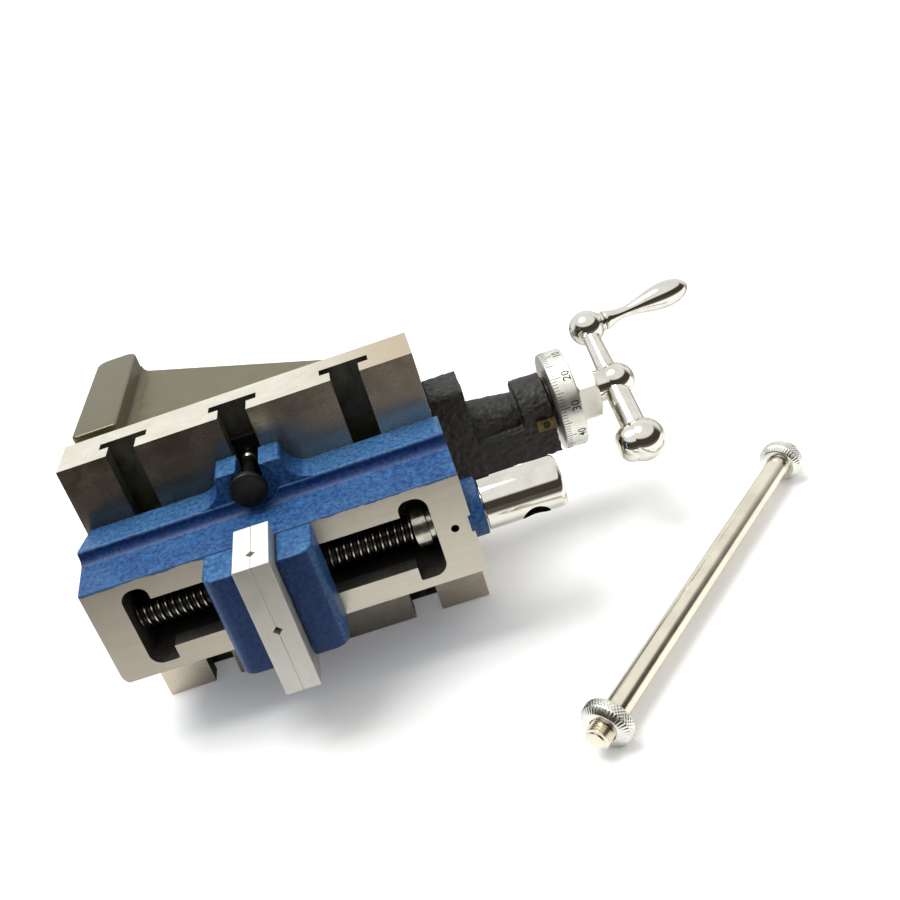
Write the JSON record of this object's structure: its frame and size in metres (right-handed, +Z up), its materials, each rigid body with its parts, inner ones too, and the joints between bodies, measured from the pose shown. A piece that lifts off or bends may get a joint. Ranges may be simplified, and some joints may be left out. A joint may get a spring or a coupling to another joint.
{
  "type": "milling vertical slide",
  "caption": "Vertical milling slide on its side: angle base, T-slotted table on a lead screw with graduated dial and ball crank, blue self-centring vice clamped to it, and a loose tommy bar.",
  "frame": {"origin": "on the slide table's lower side face, halfway along the table and halfway between its slots' floor and its back", "axes": "+X along the lead screw towards the crank, +Y from the slotted face towards the base, +Z up as it lies"},
  "size_m": [0.2503, 0.1958, 0.1],
  "materials": {
    "grey_casting": "milled grey iron with a satin sheen",
    "black_casting": "rough black sand casting",
    "ground_iron": "surface-ground iron",
    "blue_paint": "mottled glossy blue paint on iron",
    "black_steel": "black oxide",
    "bright_steel": "turned bright",
    "satin_steel": "satin plated",
    "chrome": "polished chrome",
    "nickel": "warm polished nickel",
    "brass": "dull brass",
    "bronze": "turned bronze"
  },
  "bodies": {
    "base": {"angle_base": "grey_casting", "leadscrew_bracket": "black_casting", "bracket_screw_upper": "black_steel", "bracket_screw_lower": "black_steel", "index_plate": "brass", "index_screw": "black_steel", "thrust_washer": "bright_steel"},
    "table": {"slide_table": "ground_iron", "gib_strip": "brass", "gib_screw_1": "black_steel", "gib_nut_1": "bright_steel", "gib_screw_2": "black_steel", "gib_nut_2": "bright_steel", "gib_screw_3": "black_steel", "gib_nut_3": "bright_steel", "lead_nut": "bronze", "nut_screw_lower": "bright_steel", "nut_screw_upper": "bright_steel", "vise_body": "blue_paint", "clamp_screw_upper": "black_steel", "clamp_nut_upper": "black_steel", "clamp_screw_lower": "black_steel", "clamp_nut_lower": "black_steel"},
    "leadscrew": {"lead_screw": "bright_steel", "dial_nut": "satin_steel", "ball_crank": "chrome", "crank_pin": "bright_steel"},
    "dial": {"dial": "satin_steel"},
    "grip": {"grip": "chrome", "grip_rivet": "chrome"},
    "vise_screw": {"vise_screw": "chrome", "screw_collar": "bright_steel", "collar_pin": "bright_steel"},
    "jaw_left": {"jaw_left": "blue_paint", "jaw_plate_left": "ground_iron", "plate_screw_left_lower": "black_steel", "plate_screw_left_upper": "black_steel"},
    "jaw_right": {"jaw_right": "blue_paint", "jaw_plate_right": "ground_iron", "plate_screw_right_lower": "black_steel", "plate_screw_right_upper": "black_steel"},
    "tommy_bar": {"tommy_rod": "nickel", "tommy_nut_near": "nickel", "tommy_nut_far": "nickel"}
  },
  "joints": [
    {"name": "leadscrew_turn", "type": "hinge", "parent": "base", "child": "leadscrew", "pos_m": [0, 0.0183, 0.05], "axis": [1, 0, 0], "range_deg": [-7561, 3601]},
    {"name": "table_slide", "type": "slide", "parent": "base", "child": "table", "axis": [1, 0, 0], "range_m": [-0.02, 0.042]},
    {"name": "dial_set", "type": "hinge", "parent": "leadscrew", "child": "dial", "pos_m": [0, 0.0183, 0.05], "axis": [1, 0, 0], "continuous": true},
    {"name": "grip_spin", "type": "hinge", "parent": "leadscrew", "child": "grip", "pos_m": [0.1298, 0.04349, 0.06267], "axis": [0.9934, 0.1027, 0.0516], "continuous": true},
    {"name": "vise_screw_turn", "type": "hinge", "parent": "table", "child": "vise_screw", "pos_m": [0, -0.0364, 0.05], "axis": [1, 0, 0], "range_deg": [0, 5365]},
    {"name": "jaw_right_slide", "type": "slide", "parent": "table", "child": "jaw_right", "axis": [1, 0, 0], "range_m": [0, 0.03725]},
    {"name": "jaw_left_slide", "type": "slide", "parent": "table", "child": "jaw_left", "axis": [1, 0, 0], "range_m": [-0.03726, 0]},
    {"name": "tommy_bar_lift", "type": "slide", "parent": "base", "child": "tommy_bar", "axis": [0, 0, 1], "range_m": [0, 0.1]}
  ],
  "couplings": [
    {"joint": "leadscrew_turn", "follows": "table_slide", "rad_per_m": -3141.6},
    {"joint": "vise_screw_turn", "follows": "jaw_right_slide", "rad_per_m": 2513.3},
    {"joint": "jaw_left_slide", "follows": "jaw_right_slide", "ratio": -1}
  ]
}
